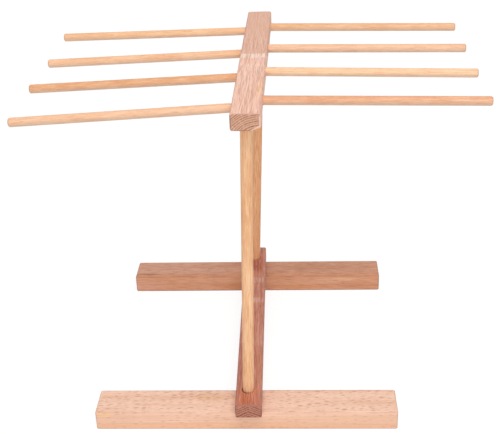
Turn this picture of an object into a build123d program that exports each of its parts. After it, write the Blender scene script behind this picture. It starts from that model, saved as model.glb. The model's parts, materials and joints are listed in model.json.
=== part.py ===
from build123d import *
import os
from math import cos, radians, tan

# Wooden rack for drying pasta. Lengths in mm, angles in degrees.
# X runs left to right, Y from front to back, Z up from the ground.
# The origin is on the ground, straight below the middle of the top bar.

# Feet, left of the bar's middle, each a little nearer the middle than its upright,
# with its right end turned to the rear
foot_length = 314
foot_depth = 38
foot_thickness = 21.7
foot_corner = 2
foot_top_edge = 1.8
foot_bottom_edge = 0.8
foot_x = -12.2
foot_inset = 1.2
front_foot_turn_angle = 0.55
rear_foot_turn_angle = 0.35

# Stretcher and top bar, cut from the same stock
rail_length = 328
rail_width = 27
rail_thickness = 16.5
rail_long_edge = 2
rail_end_chamfer = 0.7
rail_overhang = 7.5

# The stretcher sits askew, its front end turned to the right
stretcher_x = -11.3
stretcher_skew_angle = 1.15

# Corner lost from the front end of the top bar, low on its right side
chip_width = 10
chip_height = 6
chip_length = 8

# Uprights, standing off the middle in the stretcher's top and leaning to the right,
# the rear one more than the front one
rack_height = 354
upright_diameter = 11.5
upright_chamfer = 0.8
front_upright_x = -9
rear_upright_x = -13.5
front_lean_angle = 1.6
rear_lean_angle = 2.5

# Their blind sockets in the feet and the bar, and the looser holes through the stretcher,
# where each upright stands nearer the right side of its hole. The sockets in the feet
# have the play that lets two uprights of unlike lean be lifted together
foot_socket_play = 0.15
foot_socket_depth = 14
bar_socket_play = 0.08
bar_socket_depth = 11
hole_play = 0.45
hole_shift = 0.15
hole_mouth = 0.3

# Arms
arm_diameter = 8.8
arm_length = 225
arm_chamfer = 0.9

# Their blind sockets in the sides of the bar
arm_play = 0.06
arm_socket_depth = 17.5
arm_socket_mouth = 0.4
arm_stagger = 13.5
socket_wall = 1.5
arms_per_side = 4

# Droop of each arm below level, and height of its socket above the middle of the bar's side,
# from the front to the rear
arm_droop_angle = 3.1
left_droop_shares = (1.0, 0.74, 0.64, 0.3)
right_droop_shares = (0.36, 0.47, 0.31, 0.35)
left_socket_rises = (-0.9, 0.2, -0.9, 0.1)
right_socket_rises = (0.8, 1.3, 0, 0.2)

# How far a cutter runs past the face that it opens
overrun = 2

# Places that follow from the sizes above
rail_top = foot_thickness + rail_thickness
bar_bottom = rack_height - rail_thickness
arm_level = rack_height - rail_thickness / 2
upright_y = rail_length / 2 - rail_overhang - foot_depth / 2

# The front left and rear right arms stand just clear of the uprights' sockets
end_arm_y = upright_y - upright_diameter / 2 - socket_wall - arm_diameter / 2
arm_pitch = (2 * end_arm_y - arm_stagger) / (arms_per_side - 1)

# Each row's place from front to back, its upright's place and lean, and the turn of its foot
rows = {
    "front": (-upright_y, front_upright_x, front_lean_angle, front_foot_turn_angle),
    "rear": (upright_y, rear_upright_x, rear_lean_angle, rear_foot_turn_angle),
}

from_below = (Align.CENTER, Align.CENTER, Align.MIN)
turned_over = Rot(180, 0, 0)


def bore(radius, depth, mouth):
    # Flat-bottomed hole down from the cutter's own origin, with a broken edge at its mouth
    hole = Pos(0, 0, -depth) * Cylinder(radius, depth + overrun, align=from_below)
    flare = Cone(radius, radius + mouth + overrun, mouth + overrun, align=from_below)
    return hole + Pos(0, 0, -mouth) * flare


def upright_line(row, height):
    # The leaning axis of a row's upright, from where it crosses this height
    row_y, upright_x, lean_angle, _ = rows[row]
    x = upright_x + (height - rail_top) * tan(radians(lean_angle))
    return Location((x, row_y, height), (0, lean_angle, 0))


def foot(row):
    # Flat board with round corners, softened more along its top rim than its bottom one
    row_y, _, _, turn_angle = rows[row]
    board = extrude(RectangleRounded(foot_length, foot_depth, foot_corner), foot_thickness)
    board = fillet(board.faces().sort_by(Axis.Z)[-1].edges(), foot_top_edge)
    board = fillet(board.faces().sort_by(Axis.Z)[0].edges(), foot_bottom_edge)
    foot_y = row_y * (1 - foot_inset / upright_y)
    board = Pos(foot_x, foot_y, 0) * Rot(0, 0, turn_angle) * board
    socket = bore(upright_diameter / 2 + foot_socket_play, foot_socket_depth, 0)
    return board - upright_line(row, foot_thickness) * socket


def rail(bottom):
    # Straight rail from front to back, rounded along its length and chamfered round its ends
    stock = Box(rail_width, rail_length, rail_thickness, align=from_below)
    stock = fillet(stock.edges().filter_by(Axis.Y), rail_long_edge)
    return Pos(0, 0, bottom) * chamfer(stock.faces().filter_by(Axis.Y).edges(), rail_end_chamfer)


def stretcher():
    hole = bore(upright_diameter / 2 + hole_play, rail_thickness + 2 * overrun, hole_mouth)
    part = Pos(stretcher_x, 0, 0) * Rot(0, 0, stretcher_skew_angle) * rail(foot_thickness)
    for row in rows:
        part -= Pos(-hole_shift, 0, 0) * upright_line(row, rail_top) * hole
    return part


def chipped(part):
    # Slice off the corner by the plane through three points on its edges
    right, front = rail_width / 2, -rail_length / 2
    along_bottom = Vector(right - chip_width, front, bar_bottom)
    up_side = Vector(right, front, bar_bottom + chip_height)
    along_side = Vector(right, front + chip_length, bar_bottom)
    rise = up_side - along_bottom
    outwards = (along_side - along_bottom).cross(rise)
    plane = Plane(along_bottom, x_dir=rise, z_dir=outwards)
    return split(part, bisect_by=plane, keep=Keep.BOTTOM)


def top_bar(arm_places):
    part = chipped(rail(bar_bottom))
    for row in rows:
        socket = bore(upright_diameter / 2 + bar_socket_play, bar_socket_depth, 0)
        part -= upright_line(row, bar_bottom) * turned_over * socket
    for place in arm_places:
        socket = bore(arm_diameter / 2 + arm_play, arm_socket_depth, arm_socket_mouth)
        part -= arm_line(*place) * socket
    return part


def upright(row):
    # From the bottom of its socket in the foot to the bottom of the one in the bar
    _, _, lean_angle, _ = rows[row]
    between = (bar_bottom - foot_thickness) / cos(radians(lean_angle))
    length = foot_socket_depth + between + bar_socket_depth
    dowel = Cylinder(upright_diameter / 2, length, align=from_below)
    dowel = chamfer(dowel.edges().filter_by(GeomType.CIRCLE), upright_chamfer)
    return upright_line(row, foot_thickness) * Pos(0, 0, -foot_socket_depth) * dowel


def arm_line(side, arm_y, rise, droop):
    # Axis of an arm, pointing out of the bar's side and down by its droop
    return Location((side * rail_width / 2, arm_y, arm_level + rise), (0, side * (90 + droop), 0))


def arm(*place):
    dowel = Cylinder(arm_diameter / 2, arm_length, align=from_below)
    dowel = chamfer(dowel.edges().filter_by(GeomType.CIRCLE), arm_chamfer)
    return arm_line(*place) * Pos(0, 0, -arm_socket_depth) * dowel


# The left row starts nearer the front and the right row mirrors it end for end,
# so that opposite sockets pass side by side inside the bar
arms = {}
for index in range(arms_per_side):
    left_y = index * arm_pitch - end_arm_y
    right_y = left_y + arm_stagger
    left_droop = arm_droop_angle * left_droop_shares[index]
    right_droop = arm_droop_angle * right_droop_shares[index]
    arms[f"left_arm_{index + 1}"] = (-1, left_y, left_socket_rises[index], left_droop)
    arms[f"right_arm_{index + 1}"] = (1, right_y, right_socket_rises[index], right_droop)

pieces = {
    "front_foot": foot("front"),
    "rear_foot": foot("rear"),
    "stretcher": stretcher(),
    "front_upright": upright("front"),
    "rear_upright": upright("rear"),
    "top_bar": top_bar(arms.values()),
}
for name, place in arms.items():
    pieces[name] = arm(*place)

os.makedirs("parts", exist_ok=True)
for name, piece in pieces.items():
    export_step(piece, f"parts/{name}.step")
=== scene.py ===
import json
from math import cos, pi, radians, sin

import bpy
from mathutils import Matrix, Vector


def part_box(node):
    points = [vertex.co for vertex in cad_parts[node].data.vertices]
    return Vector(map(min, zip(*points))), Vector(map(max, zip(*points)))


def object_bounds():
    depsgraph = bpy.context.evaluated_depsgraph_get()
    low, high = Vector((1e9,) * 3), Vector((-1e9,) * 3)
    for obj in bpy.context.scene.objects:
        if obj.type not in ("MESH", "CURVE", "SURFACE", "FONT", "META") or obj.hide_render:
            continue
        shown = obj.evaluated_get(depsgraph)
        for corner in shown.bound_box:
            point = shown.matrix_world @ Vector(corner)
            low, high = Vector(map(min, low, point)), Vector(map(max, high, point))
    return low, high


# Looks of the wooden pasta drying rack, on the frame of its CAD parts.
# Colours are written as they show, red green blue from 0 to 255. Wood sizes are in mm,
# along, across and up the grain. Depths and shares run from 0 to 1.
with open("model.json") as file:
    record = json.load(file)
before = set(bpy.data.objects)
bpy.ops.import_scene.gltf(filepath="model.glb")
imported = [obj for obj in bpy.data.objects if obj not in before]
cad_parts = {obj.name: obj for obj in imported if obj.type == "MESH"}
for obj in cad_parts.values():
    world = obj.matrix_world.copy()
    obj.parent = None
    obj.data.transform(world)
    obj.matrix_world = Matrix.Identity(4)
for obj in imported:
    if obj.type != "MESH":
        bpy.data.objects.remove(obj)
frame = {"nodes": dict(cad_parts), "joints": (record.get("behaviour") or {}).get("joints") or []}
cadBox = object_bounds()
nodes = frame["nodes"]
jointAxis = {joint["name"]: Vector(joint["axis"]) for joint in frame["joints"]}
print("frame loaded,", len(nodes), "pieces of wood")

toRear, upwards = (0, 1, 0), (0, 0, 1)
mmPerMetre = 1000
white = (1.0, 1.0, 1.0, 1.0)


def paint(colour):
    # Linear RGBA for the nodes, from a colour as it shows, by the sRGB curve
    linear = [(c / 255 / 12.92) if c < 11 else ((c / 255 + 0.055) / 1.055) ** 2.4 for c in colour]
    return (*linear, 1.0)


class Thread:
    # One output of a node, so that shader maths reads as plain sums
    def __init__(self, bench, socket):
        self.bench, self.socket = bench, socket

    def out(self, name):
        return Thread(self.bench, self.socket.node.outputs[name])

    def __add__(self, other):
        return self.bench.math("ADD", self, other)

    def __radd__(self, other):
        return self.bench.math("ADD", other, self)

    def __sub__(self, other):
        return self.bench.math("SUBTRACT", self, other)

    def __rsub__(self, other):
        return self.bench.math("SUBTRACT", other, self)

    def __mul__(self, other):
        return self.bench.math("MULTIPLY", self, other)

    def __rmul__(self, other):
        return self.bench.math("MULTIPLY", other, self)

    def __truediv__(self, other):
        return self.bench.math("DIVIDE", self, other)

    def __rtruediv__(self, other):
        return self.bench.math("DIVIDE", other, self)

    def __abs__(self):
        return self.bench.math("ABSOLUTE", self)


# How far a piece's seed and a layer's shift move its noise, along, across and up
noiseMoves = ((3.7, 1.0), (1.9, -1.0), (2.3, 0.6))


class Bench:
    # The bench where one node tree is put together
    def __init__(self, tree, seed=0.0):
        self.tree, self.seed = tree, seed
        tree.nodes.clear()

    def node(self, kind, settings=None, values=None, out=0):
        made = self.tree.nodes.new("ShaderNode" + kind)
        for key, value in (settings or {}).items():
            setattr(made, key, value)
        for key, value in (values or {}).items():
            if isinstance(value, Thread):
                self.tree.links.new(value.socket, made.inputs[key])
            else:
                made.inputs[key].default_value = value
        return Thread(self, made.outputs[out]) if made.outputs else None

    def math(self, operation, *values):
        return self.node("Math", {"operation": operation}, dict(enumerate(values)))

    def mix(self, share, first, second):
        # Colours: 0 is the factor, 6 and 7 are the two colours, and 2 is the colour that comes out
        return self.node("Mix", {"data_type": "RGBA"}, {0: share, 6: first, 7: second}, out=2)

    def fade(self, value, start, end):
        # 0 before start, 1 after end, smooth in between
        settings = {"interpolation_type": "SMOOTHSTEP"}
        return self.node("MapRange", settings, {"Value": value, "From Min": start, "From Max": end})

    def atLeast(self, least, share):
        # A share from 0 to 1, brought up to run from this least to 1
        return share * (1 - least) + least

    def facing(self, normal, direction):
        # Cosine of the angle between a face's normal and this direction
        return self.node("VectorMath", {"operation": "DOT_PRODUCT"}, {0: normal, 1: direction}, out="Value")

    def parts(self, vector):
        first = self.node("SeparateXYZ", values={0: vector})
        return first, first.out("Y"), first.out("Z")

    def join(self, x, y, z):
        return self.node("CombineXYZ", values={0: x, 1: y, 2: z})

    def steps(self, point, size, shift):
        # The point counted in steps of this size, moved so that no two layers or pieces are alike
        move = [self.seed * bySeed + shift * byShift for bySeed, byShift in noiseMoves]
        scale = [1 / step for step in size]
        return self.node("Mapping", values={"Vector": point, "Location": move, "Scale": scale})

    def noise(self, point, size, shift, detail=2.0, rough=0.5):
        # Smooth noise from 0 to 1 with features of this size
        spot = self.steps(point, size, shift)
        values = {"Vector": spot, "Scale": 1.0, "Detail": detail, "Roughness": rough}
        return self.node("TexNoise", values=values)

    def swing(self, width, point, **layer):
        # Noise that swings to both sides of zero, this wide in all
        return (self.noise(point, **layer) - 0.5) * width

    def cells(self, point, size, shift, scatter):
        # Distance to the nearest of the scattered points, and a random colour for each
        spot = self.steps(point, size, shift)
        near = self.node("TexVoronoi", values={"Vector": spot, "Scale": 1.0, "Randomness": scatter})
        return near, near.out("Color")


def newMaterial(name):
    material = bpy.data.materials.new(name)
    material.use_nodes = True
    return material


def woodFrame(name, grain, up):
    # How a piece lies: its middle, the turn of its own axes, the line along its grain, and its half sizes
    along = Vector(grain).normalized()
    across = Vector(up).cross(along).normalized()
    axes = (along, across, along.cross(across))
    low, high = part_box(name)
    middle = (low + high) / 2
    spots = [vertex.co - middle for vertex in nodes[name].data.vertices]
    half = [mmPerMetre * max(abs(spot.dot(axis)) for spot in spots) for axis in axes]
    turn = Matrix(axes).transposed().to_euler("XYZ")
    return {"middle": middle, "turn": turn, "along": along, "half": half}


# Layers of noise: the size of their features, where a look doesn't give it, and a shift that sets each apart
layers = {
    "sway": {"size": (110, 40, 40), "shift": 1.0},
    "ripple": {"size": (22, 6, 6), "shift": 2.0},
    "spacing": {"size": (9, 1, 1), "shift": 3.0},
    "rays": {"shift": 4.0, "scatter": 0.7},
    "pores": {"size": (5.5, 0.5, 0.5), "shift": 6.0, "detail": 3.0, "rough": 0.6},
    "streaks": {"shift": 7.0, "detail": 3.0, "rough": 0.6},
    "drift": {"shift": 8.0, "rough": 0.55},
    "worn": {"size": (14, 3, 3), "shift": 9.0},
    "dull": {"size": (30, 6, 6), "shift": 10.0, "detail": 3.0, "rough": 0.6},
    "bend": {"size": (22, 9, 9), "shift": 11.0},
    "dashes": {"shift": 12.0, "detail": 1.6, "rough": 0.6},
    "broken": {"size": (5, 1.5, 1.2), "shift": 13.0},
    "spokes": {"size": (9, 0.7, 4), "shift": 14.0, "detail": 1.0},
    "jag": {"detail": 3.0, "rough": 0.6},
}

# Where a feature starts to show, and where it shows fully
limits = {
    "late": (0.4, 0.95), "endLate": (0.35, 0.7),         # share of the year that has passed
    "dark": (0.0, 0.1), "light": (-0.08, -0.2),          # above or below the look's dash level
    "pores": (0.5, 0.72), "streaks": (0.42, 0.72), "drift": (0.35, 0.65),
    "broken": (0.3, 0.6), "spokes": (0.52, 0.7),
    "end": (0.6, 0.92), "chip": (0.93, 0.99),            # normal's cosine to the grain, to the chip's outlook
    "top": (0.45, 0.95), "under": (0.45, -0.6),          # upward part of a face's normal, where the painted light and shade of tops and the painted shade of undersides show
}

# How much of some features there is in every piece
amounts = {
    "spacing": 1.6,                                      # years by which the rings crowd or spread
    "rayRipple": 0.7,                                    # share of the ripple that the rays follow
    "worn": 2.0,                                         # mm by which the rim of the darkened edges wanders
    "leastLate": 0.3, "leastEndLate": 0.5,               # strength of the faintest rings, on faces and ends
    "leastBroken": 0.55,                                 # strength left where a ring on an end is broken
    "leastRay": 0.5,                                     # reach of the smallest ray, as a share of the largest
    "rayCore": 0.4,                                      # share of its reach over which a ray shows fully
    "endDrift": 0.6, "spokes": 0.45,                     # depths of the drifts and the rays on ends
    "fresh": 0.8,                                        # depth of the clean wood on the broken corner
}

# Sanded and unvarnished: how rough it is and how high it stands, by what each feature adds
finish = {
    "roughness": 0.5, "rougher": {"dull": 0.16, "end": 0.12, "wearAndEdgeShade": -0.1, "rays": -0.04},
    "higher": {"late": 0.35, "pores": -0.5, "dull": 0.5, "rays": 0.2},
    "bumpStrength": 0.35, "bumpMetres": 0.0003, "specular": 0.3,
}


def makeRings(bench, look, local, place):
    # Distance from the pith and way round it, share of the year that has passed, and that ring's strength
    along, across, up = place
    distance, bearing = look["pith"]
    toSide, toTop = cos(radians(bearing)), sin(radians(bearing))
    leanIn, leanBeside = look["tilt"]
    sway = bench.swing(look["sway"], local, **layers["sway"])
    ripple = bench.swing(look["ripple"], local, **layers["ripple"])
    inward = distance - (across * toSide + up * toTop) + along * leanIn + sway
    beside = up * toSide - across * toTop + along * leanBeside
    if look["ridge"]:
        slope = radians(look["ridge"])
        radius = inward * cos(slope) + abs(beside) * sin(slope) + ripple
    else:
        radius = bench.math("SQRT", inward * inward + beside * beside) + ripple
    around = bench.math("ARCTAN2", beside, inward) * distance + ripple * amounts["rayRipple"]
    spacing = bench.noise(bench.join(radius, 0.0, 0.0), **layers["spacing"]) * amounts["spacing"]
    count = radius / look["ring"] + spacing
    year = bench.math("FLOOR", count)
    strength = bench.node("TexWhiteNoise", {"noise_dimensions": "1D"}, {"W": year + look["seed"]})
    return radius, around, count - year, strength


def makeDashes(bench, look, local, place):
    # Short wavy dashes that run with the grain, dark ones and light ones
    along, across, up = place
    bend = bench.swing(look["bend"], local, **layers["bend"])
    bent = bench.join(along, across + bend, up + bend)
    dash = bench.noise(bent, look["dashSize"], **layers["dashes"])
    dark, light = [[look["dashLevel"] + step for step in limits[tone]] for tone in ("dark", "light")]
    return bench.fade(dash, *dark), bench.fade(dash, *light)


def makeRays(bench, look, blades):
    # Thin blades that show as flakes or lines by the way the wood is cut
    near, chance = bench.cells(blades, look["raySize"], **layers["rays"])
    reach = bench.atLeast(amounts["leastRay"], bench.parts(chance)[0]) * look["rayShare"]
    return bench.fade(near, reach, reach * amounts["rayCore"])


def makeEndGrain(bench, look, local, blades, season, strength, drift):
    # Cut ends show the rings as dark arcs, fainter here and there, and pale rays across them
    cut = bench.mix(drift * amounts["endDrift"], paint(look["end"]), paint(look["endDeep"]))
    whole = bench.fade(bench.noise(local, **layers["broken"]), *limits["broken"])
    arcs = bench.fade(season, *limits["endLate"]) * bench.atLeast(amounts["leastEndLate"], strength)
    cut = bench.mix(arcs * bench.atLeast(amounts["leastBroken"], whole), cut, paint(look["endLate"]))
    spokes = bench.fade(bench.noise(blades, **layers["spokes"]), *limits["spokes"])
    return bench.mix(spokes * amounts["spokes"], cut, paint(look["endRay"]))


def edgeDistance(bench, half, place, dowel):
    # To the nearest edge: the second least of the distances to the faces. A dowel's edges are at its ends
    along, across, up = place
    toEnd = half[0] - abs(along)
    if dowel:
        return toEnd
    toSide, toTop = half[1] - abs(across), half[2] - abs(up)
    least, most = bench.math("MINIMUM", toSide, toTop), bench.math("MAXIMUM", toSide, toTop)
    return bench.math("MAXIMUM", least, bench.math("MINIMUM", most, toEnd))


def toned(bench, ground, look, tones):
    # Lays colours of the look over the ground: each has a share, and the names of its depth and its colour
    for share, depth, colour in tones:
        if look[depth]:
            ground = bench.mix(share * look[depth], ground, paint(look[colour]))
    return ground


def marked(bench, ground, marks, local, place):
    # Lays marks of colour over the ground
    for mark in marks:
        along, across, up = place
        if mark["jag"]:
            layer = {"size": mark["jagSize"], "shift": mark["shift"], **layers["jag"]}
            along = along + bench.swing(mark["jag"], local, **layer)
        offset = [(part - at) / size for part, at, size in zip((along, across, up), mark["at"], mark["size"])]
        away = bench.math("SQRT", sum(part * part for part in offset))
        ground = bench.mix(bench.fade(away, 1.0, mark["soft"]) * mark["depth"], ground, paint(mark["colour"]))
    return ground


def beech(name, look):
    # Growth rings round a far pith, dashes, rays, pores, slow drifts of colour, end grain, edges darkened
    # partly by wear and partly as painted shade, and painted light and shade by which way a face looks
    lie = woodFrame(name, look["grain"], look["up"])
    material = newMaterial(name + "_wood")
    bench = Bench(material.node_tree, look["seed"])
    local = bench.node("Mapping", {"vector_type": "TEXTURE"},
                       {"Vector": bench.node("TexCoord", out="Object"), "Location": lie["middle"],
                        "Rotation": lie["turn"], "Scale": (1 / mmPerMetre,) * 3})
    place = bench.parts(local)

    radius, around, season, strength = makeRings(bench, look, local, place)
    blades = bench.join(place[0], around, radius)
    rays = makeRays(bench, look, blades)
    dark, light = makeDashes(bench, look, local, place)
    late = bench.fade(season, *limits["late"]) * bench.atLeast(amounts["leastLate"], strength)
    pores = bench.fade(bench.noise(local, **layers["pores"]), *limits["pores"])
    streaks = bench.fade(bench.noise(local, look["streakSize"], **layers["streaks"]), *limits["streaks"])
    drift = bench.fade(bench.noise(local, look["driftSize"], **layers["drift"]), *limits["drift"])

    # Which way the face looks
    normal = bench.node("TexCoord", out="Normal")
    end = bench.fade(abs(bench.facing(normal, lie["along"])), *limits["end"])
    upward = bench.parts(normal)[2]
    topness, underness = bench.fade(upward, *limits["top"]), bench.fade(upward, *limits["under"])

    toEdge = edgeDistance(bench, lie["half"], place, look["dowel"])
    wander = bench.swing(amounts["worn"], local, **layers["worn"])
    wearAndEdgeShade = bench.fade(toEdge + wander, look["edge"], 0.0)

    # Colours, from the ground up
    figure = bench.atLeast(look["sideShare"], topness)
    ground = bench.mix(drift, paint(look["pale"]), paint(look["deep"]))
    # Painted light and shade by which way a face looks: top faces take the look's top colour, undersides are
    # darkened
    ground = toned(bench, ground, look, [(topness, "topDepth", "top"), (underness, "underDepth", "under")])
    ground = marked(bench, ground, look["patches"], local, place)
    ground = toned(bench, ground, look, [
        (streaks, "streakDepth", "streak"), (late, "ringDepth", "late"), (pores, "poreDepth", "late"),
        (light * figure, "lightDepth", "light"), (dark * figure, "dashDepth", "dash"),
        (rays * figure, "rayDepth", "ray"),
    ])
    ground = bench.mix(end, ground, makeEndGrain(bench, look, local, blades, season, strength, drift))
    # Edges darkened, partly as wear and partly as painted shade of the rounded edges
    ground = toned(bench, ground, look, [(wearAndEdgeShade, "wearAndEdgeShadeDepth", "wearAndEdgeShade")])
    # Marks over the figure: real marks, painted shade at edges and joints, and a painted highlight
    ground = marked(bench, ground, look["marksAndPaintedLight"], local, place)
    if "chip" in look:
        # Clean wood where the corner broke away
        broken = bench.fade(bench.facing(normal, look["chip"]), *limits["chip"])
        ground = bench.mix(broken * amounts["fresh"], ground, paint(look["fresh"]))

    dull = bench.noise(local, **layers["dull"])
    features = {"dull": dull, "end": end, "wearAndEdgeShade": wearAndEdgeShade, "rays": rays, "late": late, "pores": pores}
    roughness = sum((features[key] * more for key, more in finish["rougher"].items()), finish["roughness"])
    height = sum(features[key] * more for key, more in finish["higher"].items())
    bump = bench.node("Bump", values={
        "Strength": finish["bumpStrength"], "Distance": finish["bumpMetres"], "Height": height})
    shader = bench.node("BsdfPrincipled", values={
        "Base Color": ground, "Roughness": roughness, "Normal": bump,
        "Specular IOR Level": finish["specular"]})
    bench.node("OutputMaterial", values={"Surface": shader})
    nodes[name].data.materials.clear()
    nodes[name].data.materials.append(material)


def grainToRight(angle):
    # Level, turned to the left by this angle in degrees seen from above
    return (cos(radians(angle)), sin(radians(angle)), 0)


def grainToRear(angle):
    # Level, turned to the left by this angle in degrees seen from above
    return (-sin(radians(angle)), cos(radians(angle)), 0)


def grainUp(angle):
    # Upright, leaning to the right by this angle in degrees
    return (sin(radians(angle)), 0, cos(radians(angle)))


def halfSizes(name, grain):
    # How far the ends, sides and flat faces of a level piece are from its middle, to 0.01 mm
    return [round(size, 2) for size in woodFrame(name, grain, upwards)["half"]]


def patch(at, size, colour, depth, soft=0.3, jag=0.0, jagSize=(9, 1.5, 3), shift=0.0):
    # A stretch of another colour: its middle, its half sizes, and the share of them where it starts to fade.
    # A jag moves its rim to and fro along the grain, over this width in mm, by a layer of noise of its own
    return {"at": at, "size": size, "colour": colour, "depth": depth, "soft": soft,
            "jag": jag, "jagSize": jagSize, "shift": shift}


# What the looks have in common
plainBeech = {
    "ridge": 0.0,                               # slope in degrees of rings that meet in a ridge, or 0
    "dashLevel": 0.535,                         # the higher, the fewer the dark dashes
    "sideShare": 1.0,                           # how much of the figure shows on faces that don't look up
    "raySize": (4.0, 1.4, 2.5),                 # the room that each ray has
    "rayShare": 0.25,                           # reach of the largest ray, as a share of its room
    # topDepth and underDepth: how much painted light and shade tops and undersides get, none unless a look
    # sets it
    "poreDepth": 0.15, "topDepth": 0.0, "underDepth": 0.0,
    "edge": 1.8,                                # how far the darkening reaches in from an edge, partly wear and partly painted shade of the rounded edges
    "patches": [], "marksAndPaintedLight": [],                 # marks that lie under the figure, and marks over it, real marks along with painted shade and painted highlights
    "up": upwards, "dowel": False,
}

# Feet: flat boards, grain from left to right. All turns and leans are those of the CAD pieces
frontFootGrain = grainToRight(0.55)
footEnd, footSide, footFace = halfSizes("front_foot", frontFootGrain)
frontFoot = {
    **plainBeech, "seed": 1.0, "grain": frontFootGrain,
    "pith": (75.0, 84.0),                       # distance, and bearing in degrees from across towards up
    "tilt": (0.02, 0.0),                        # how the pith line leans along the grain
    "ring": 2.6, "ringDepth": 0.2,              # width of a year's ring
    "sway": 9.0, "ripple": 1.6,                 # width of the rings' long waves, and of their short ones
    "bend": 4.0,                                # width of the dashes' waves
    "dashSize": (7.0, 1.25, 0.75),
    "dash": (206, 150, 118), "dashDepth": 0.26, "light": (252, 216, 194), "lightDepth": 0.4, "sideShare": 0.4,
    "raySize": (9.5, 2.1, 3.2), "rayShare": 0.46, "ray": (190, 132, 102), "rayDepth": 0.75,
    "streakDepth": 0.6, "streakSize": (110, 8.0, 1.2), "driftSize": (120, 24, 24),
    "pale": (242, 201, 176), "deep": (235, 191, 165), "streak": (224, 174, 142), "late": (212, 162, 136),
    # Top faces painted lighter: painted light
    "top": (249, 214, 192), "topDepth": 0.35,
    "end": (215, 166, 138), "endDeep": (205, 154, 124), "endLate": (178, 124, 98), "endRay": (230, 190, 162),
    "wearAndEdgeShade": (202, 148, 124), "wearAndEdgeShadeDepth": 0.6,
    "patches": [
        patch((0, -footSide, -7), (300, 7, 6), (232, 178, 140), 0.7, soft=0.5),
        patch((90, -footSide, 2), (150, 7, 3), (240, 196, 150), 0.5),
        patch((-38, 5, 11), (30, 9, 6), (230, 186, 144), 0.6),
        patch((-148, -footSide, 8), (12, 6, 5), (244, 200, 150), 0.7),
        patch((100, -footSide, 0), (90, 6, 12), (230, 184, 156), 0.5),
    ],
    "marksAndPaintedLight": [
        # Painted shade along the bottom front edge, where the foot meets the floor
        patch((0, -footSide, -footFace), (400, 3, 1.3), (160, 110, 88), 0.7, soft=0.5),
        patch((0, footSide, footFace), (400, 2.2, 2), (172, 120, 96), 0.7, soft=0.5),
    ],
}
rearFoot = {
    **plainBeech, "seed": 2.0, "grain": grainToRight(0.35),
    "pith": (60.0, -70.0), "tilt": (0.02, 0.0),
    "ring": 2.9, "ringDepth": 0.32, "sway": 9.0, "ripple": 1.6,
    "bend": 2.0, "dashSize": (14.0, 2.2, 0.9),
    "dash": (168, 106, 76), "dashDepth": 0.36, "light": (224, 170, 136), "lightDepth": 0.4,
    "ray": (134, 82, 62), "rayDepth": 0.25,
    "streakDepth": 0.45, "streakSize": (180, 2.6, 1.5), "driftSize": (120, 24, 24),
    "pale": (220, 166, 134), "deep": (210, 150, 114), "streak": (194, 132, 98), "late": (176, 116, 88),
    # Top faces painted darker: painted shade
    "top": (204, 152, 126), "topDepth": 0.8,
    "end": (190, 134, 106), "endDeep": (178, 120, 94), "endLate": (150, 96, 72), "endRay": (208, 156, 128),
    "wearAndEdgeShade": (150, 98, 80), "wearAndEdgeShadeDepth": 0.55,
    "patches": [
        patch((-120, 0, 11), (120, 22, 4), (214, 164, 142), 0.6),
        patch((95, 4, 11), (95, 15, 4), (194, 138, 108), 0.7),
        patch((0, -17, 11), (400, 6, 4), (212, 148, 110), 0.85, soft=0.75),
        patch((-140, -footSide, -2), (40, 6, 11), (216, 160, 136), 0.7),
        patch((-15, -footSide, -4), (55, 6, 9), (202, 132, 90), 0.8),
        patch((60, -footSide, -5), (70, 6, 7), (212, 148, 104), 0.6),
        patch((125, -footSide, -3), (50, 6, 9), (196, 134, 98), 0.55),
        patch((112, -18, 5.5), (24, 7, 3), (236, 186, 148), 0.8, soft=0.2,
              jag=16.0, jagSize=(3, 2, 0.8), shift=26.0),
    ],
    "marksAndPaintedLight": [
        patch((-140, -12.1, 10.9), (24, 1.3, 3), (118, 68, 54), 0.9),
        # Painted shade along the bottom front edge, where the foot meets the floor
        patch((0, -footSide, -footFace), (400, 3, 1.5), (124, 84, 80), 0.8, soft=0.5),
        patch((0, footSide, footFace), (400, 2.2, 2), (136, 92, 80), 0.7, soft=0.5),
        patch((-footEnd, -14, 0), (2, 8, 12), (140, 98, 90), 0.7, soft=0.5),
        patch((footEnd, -14, 0), (2, 8, 12), (134, 92, 78), 0.7, soft=0.5),
    ],
}
beech("front_foot", frontFoot)
beech("rear_foot", rearFoot)
print("feet done")

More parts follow.
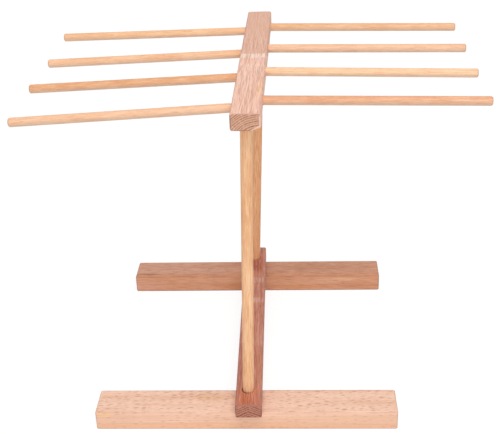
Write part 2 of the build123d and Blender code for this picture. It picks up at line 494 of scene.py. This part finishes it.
# Stretcher and top bar: rails, grain from front to rear, so across runs to the left
railEnd, railSide, railFace = halfSizes("top_bar", toRear)
stretcher = {
    **plainBeech, "seed": 3.0, "grain": grainToRear(1.15),
    "pith": (15.0, -92.0), "tilt": (0.004, 0.002), "ridge": 27.0,
    "ring": 2.5, "ringDepth": 0.4, "sway": 1.5, "ripple": 1.6,
    "bend": 2.0, "dashSize": (20.0, 1.1, 1.6),
    "dash": (142, 84, 70), "dashDepth": 0.5, "light": (224, 168, 148), "lightDepth": 0.45,
    "ray": (132, 74, 58), "rayDepth": 0.3,
    "streakDepth": 0.6, "streakSize": (60, 1.8, 1.8), "driftSize": (70, 9, 14),
    "pale": (204, 139, 116), "deep": (192, 119, 92), "streak": (176, 100, 77), "late": (160, 92, 74),
    "end": (189, 126, 104), "endDeep": (180, 116, 94), "endLate": (82, 38, 28), "endRay": (220, 158, 136),
    "wearAndEdgeShade": (160, 104, 94), "wearAndEdgeShadeDepth": 0.65,
    "patches": [
        patch((-60, 12, 8), (120, 5, 7), (178, 118, 108), 0.6),
        patch((-100, -10.5, 8), (60, 5, 7), (214, 144, 110), 0.6),
        patch((-42, -9.5, 8), (36, 6, 7), (226, 168, 144), 0.45),
        patch((-152, 1.5, 8), (28, 12, 6), (186, 100, 60), 0.85),
        patch((118, -2, 8), (24, 14, 7), (160, 82, 58), 0.8),
        patch((80.6, 0, 8), (9, 30, 30), (220, 172, 154), 0.65, soft=0.4, jag=7.0, shift=21.0),
        patch((34.2, 0, 8), (8, 30, 30), (224, 174, 156), 0.65, soft=0.4, jag=7.0, shift=22.0),
    ],
    "marksAndPaintedLight": [
        # Painted shade in the gap round the front upright, at its hole
        patch((-138.7, 1.5, railFace), (6.9, 6.4, 3), (96, 52, 38), 0.85, soft=0.85),
        # Darker rims along the bottom and sides of the front end
        patch((-railEnd, -0.5, -railFace), (4, 13, 1.3), (130, 74, 56), 0.7, soft=0.5),
        patch((-railEnd, -railSide, -2), (4, 1.5, 6.5), (134, 76, 58), 0.7, soft=0.5),
        patch((-railEnd, railSide, 1), (4, 1.5, 6), (134, 80, 54), 0.7, soft=0.5),
    ],
}
topBar = {
    **plainBeech, "seed": 4.0, "grain": toRear,
    "pith": (31.3, -116.6), "tilt": (0.006, 0.004),
    "ring": 1.9, "ringDepth": 0.32, "sway": 2.0, "ripple": 1.2,
    "bend": 1.4, "dashSize": (22.0, 0.62, 1.6), "dashLevel": 0.505,
    "dash": (190, 136, 112), "dashDepth": 0.6, "light": (252, 222, 206), "lightDepth": 0.52,
    "ray": (158, 104, 84), "rayDepth": 0.3,
    "streakDepth": 0.2, "streakSize": (60, 1.6, 1.6), "driftSize": (120, 24, 24),
    "pale": (243, 203, 183), "deep": (237, 191, 169), "streak": (226, 176, 152), "late": (208, 158, 135),
    "end": (213, 164, 136), "endDeep": (206, 155, 128), "endLate": (122, 74, 54), "endRay": (230, 188, 162),
    "wearAndEdgeShade": (200, 150, 138), "wearAndEdgeShadeDepth": 0.6,
    "chip": (0.433, -0.541, -0.72),             # which way the broken corner looks
    "fresh": (244, 204, 184),
    "patches": [
        patch((92, 0, 8), (92, 60, 60), (218, 172, 148), 0.9, soft=0.92, jag=5.0, shift=24.0),
        patch((-22, 3, 8), (14, 40, 40), (240, 188, 168), 0.5),
        patch((-33, 0, 8), (6, 60, 60), (248, 214, 194), 0.5, soft=0.4, jag=6.0, shift=25.0),
        patch((-4, 0, 8), (8, 60, 60), (246, 221, 203), 0.85, soft=0.6, jag=9.0, shift=23.0),
        patch((-52, -8, 8), (11, 4, 5), (232, 208, 194), 0.6),
        patch((-100, -10.5, 8), (32, 4, 7), (242, 196, 152), 0.7),
        patch((-142, -11, 8), (16, 4, 7), (240, 180, 164), 0.5),
    ],
    "marksAndPaintedLight": [
        patch((130, 0, 8), (95, 60, 60), (220, 172, 146), 0.5, soft=0.4),
        # Darker line along the top left edge, partly painted shade of the rounded edge
        patch((95, railSide, railFace), (110, 1.8, 2.2), (190, 138, 134), 0.75, soft=0.5),
        patch((railEnd, 0, railFace), (3.5, 14, 2.2), (186, 138, 128), 0.7, soft=0.5),
        patch((-14.6, -7.5, 8.2), (9, 2.8, 4), (226, 198, 200), 0.55),
        # Painted shade on the rounded lower and left edges of the front end
        patch((-railEnd, 3, -railFace), (4, 14, 1.3), (146, 92, 72), 0.75, soft=0.5),
        patch((-railEnd, railSide, 0), (4, 1.6, 9), (146, 102, 90), 0.75, soft=0.5),
        # Painted highlight on the rounded right edge of the front end
        patch((-railEnd, -13.2, 1.5), (3, 1.3, 6.5), (250, 214, 196), 0.6, soft=0.5),
    ],
}
beech("stretcher", stretcher)
beech("top_bar", topBar)
print("rails done")

# Uprights and arms: turned dowels
frontUpright = {
    **plainBeech, "dowel": True, "seed": 5.0, "grain": grainUp(1.6), "up": toRear,
    "pith": (34.0, 20.0), "tilt": (0.01, 0.015),
    "ring": 2.2, "ringDepth": 0.25, "sway": 3.0, "ripple": 0.6,
    "bend": 2.0, "dashSize": (16.0, 1.4, 1.4),
    "dash": (212, 148, 104), "dashDepth": 0.5, "light": (250, 210, 166), "lightDepth": 0.5,
    "ray": (190, 132, 98), "rayDepth": 0.25,
    "streakDepth": 0.6, "streakSize": (45, 2.0, 2.0), "driftSize": (80, 10, 10),
    "pale": (243, 196, 154), "deep": (237, 185, 140), "streak": (228, 168, 118), "late": (214, 154, 114),
    "end": (222, 172, 134), "endDeep": (214, 160, 122), "endLate": (188, 132, 98), "endRay": (238, 198, 164),
    "edge": 1.2, "wearAndEdgeShade": (220, 170, 132), "wearAndEdgeShadeDepth": 0.4,
    "patches": [patch((67, 0, 0), (70, 20, 20), (226, 171, 125), 0.8)],
}
rearUpright = {
    **frontUpright, "seed": 6.0, "grain": grainUp(2.5), "dash": (192, 128, 86), "light": (238, 186, 142),
    "pale": (234, 178, 132), "deep": (226, 166, 120), "streak": (210, 148, 102), "late": (192, 132, 96),
    "ray": (168, 110, 80), "patches": [],
}
beech("front_upright", frontUpright)
beech("rear_upright", rearUpright)

plainArm = {
    **frontUpright, "up": upwards, "patches": [],
    "ring": 1.8, "driftSize": (34, 8, 8), "streakSize": (60, 1.2, 1.2), "streakDepth": 0.4,
    "dashSize": (12.0, 0.9, 0.9), "dashLevel": 0.56, "dashDepth": 0.35, "lightDepth": 0.25,
    # Undersides painted darker: painted shade
    "under": (206, 186, 168), "underDepth": 0.65,
    "edge": 1.8, "wearAndEdgeShade": (190, 136, 106), "wearAndEdgeShadeDepth": 0.6,
    "streak": (222, 164, 122), "late": (208, 152, 116), "ray": (186, 128, 96),
    "dash": (200, 138, 100), "light": (252, 214, 176),
}
arms = {
    "left_arm_1": {"seed": 7.0, "pale": (237, 192, 158), "deep": (233, 185, 149)},
    "left_arm_2": {"seed": 8.0, "pale": (224, 168, 125), "deep": (215, 155, 111)},
    "left_arm_3": {"seed": 9.0, "pale": (240, 193, 155), "deep": (233, 181, 141)},
    "left_arm_4": {"seed": 10.0, "pale": (240, 193, 151), "deep": (233, 182, 139)},
    "right_arm_1": {"seed": 11.0, "pale": (229, 175, 139), "deep": (218, 158, 121),
                    "patches": [patch((88, -3.9, 2), (24, 2, 1.1), (244, 196, 164), 0.75)]},
    "right_arm_2": {"seed": 12.0, "pale": (246, 207, 168), "deep": (242, 200, 161)},
    "right_arm_3": {"seed": 13.0, "pale": (238, 193, 161), "deep": (230, 182, 149)},
    "right_arm_4": {"seed": 14.0, "pale": (235, 187, 146), "deep": (226, 175, 133)},
}
for name, look in arms.items():
    beech(name, {**plainArm, **look, "grain": jointAxis[name + "_pull"]})
print("dowels done")

# Studio: white floor and backdrop, large soft lamps
studio = {
    "ambient": 0.52,                            # light from all round
    "lamps": [                                  # place, size in metres, power in watts
        ("overhead", (0.3, -1.3, 3.1), 2.4, 57.0),
        ("front", (0.3, -3.2, 1.5), 1.8, 17.5),
    ],
    "floorSide": 12.0, "floorColour": (252, 252, 252), "shadowShare": 0.25, "glow": 1.08,
    "shadowReach": (0.9, 2.2),                  # metres from the middle between which the shadow thins out
}


def seenPlainly(bench):
    # 1 where the camera sees it straight, in a gloss or through glass
    path = bench.node("LightPath", out="Is Camera Ray")
    gloss, through = path.out("Is Glossy Ray"), path.out("Is Transmission Ray")
    return bench.math("MAXIMUM", path, bench.math("MAXIMUM", gloss, through))


def makeFloor():
    # White paper that glows where it is seen, with a part of the rack's shadow left on it
    side = studio["floorSide"] / 2
    corners = [(-side, -side, 0), (side, -side, 0), (side, side, 0), (-side, side, 0)]
    mesh = bpy.data.meshes.new("floor")
    mesh.from_pydata(corners, [], [(0, 1, 2, 3)])
    floor = bpy.data.objects.new("floor", mesh)
    bpy.context.scene.collection.objects.link(floor)
    material = newMaterial("floor_paper")
    bench = Bench(material.node_tree)
    paper = bench.node("BsdfDiffuse", values={"Color": paint(studio["floorColour"])})
    glow = bench.node("Emission", values={"Color": white, "Strength": studio["glow"]})
    here = bench.node("TexCoord", out="Object")
    away = bench.node("VectorMath", {"operation": "LENGTH"}, {0: here}, out="Value")
    near, far = studio["shadowReach"]
    share = seenPlainly(bench) * (1 - bench.fade(away, far, near) * studio["shadowShare"])
    surface = bench.node("MixShader", values={0: share, 1: paper, 2: glow})
    bench.node("OutputMaterial", values={"Surface": surface})
    mesh.materials.append(material)


def makeBackdrop():
    world = bpy.data.worlds.new("studio")
    world.use_nodes = True
    bpy.context.scene.world = world
    bench = Bench(world.node_tree)
    strength = bench.atLeast(studio["ambient"], seenPlainly(bench))
    sky = bench.node("Background", values={"Color": white, "Strength": strength})
    bench.node("OutputWorld", values={"Surface": sky})


def makeLamps():
    target = (Vector(cadBox[0]) + Vector(cadBox[1])) / 2
    for name, place, size, power in studio["lamps"]:
        data = bpy.data.lights.new(name, "AREA")
        data.shape, data.size, data.energy = "DISK", size, power
        lamp = bpy.data.objects.new(name, data)
        lamp.location = place
        lamp.rotation_euler = (target - Vector(place)).to_track_quat("-Z", "Y").to_euler()
        lamp.visible_camera = False
        bpy.context.scene.collection.objects.link(lamp)


camera = {
    "place": (0.05213, -0.92652, 0.64872),
    "yaw": -0.0684, "pitch": 0.4773, "roll": -0.0394,    # radians
    "focal": 945.02, "imageWidth": 497,                  # pixels
    "sensor": 36.0,                                      # mm
}


def makeCamera():
    data = bpy.data.cameras.new("camera")
    data.sensor_width = camera["sensor"]
    data.lens = camera["focal"] / camera["imageWidth"] * camera["sensor"]
    eye = bpy.data.objects.new("camera", data)
    bpy.context.scene.collection.objects.link(eye)
    turn = (Matrix.Rotation(-camera["yaw"], 4, "Z") @ Matrix.Rotation(pi / 2 - camera["pitch"], 4, "X")
            @ Matrix.Rotation(camera["roll"], 4, "Z"))
    eye.matrix_world = Matrix.Translation(camera["place"]) @ turn
    bpy.context.scene.camera = eye


makeFloor()
makeBackdrop()
makeLamps()
makeCamera()
bpy.context.scene.view_settings.view_transform = "Standard"
print("studio done")
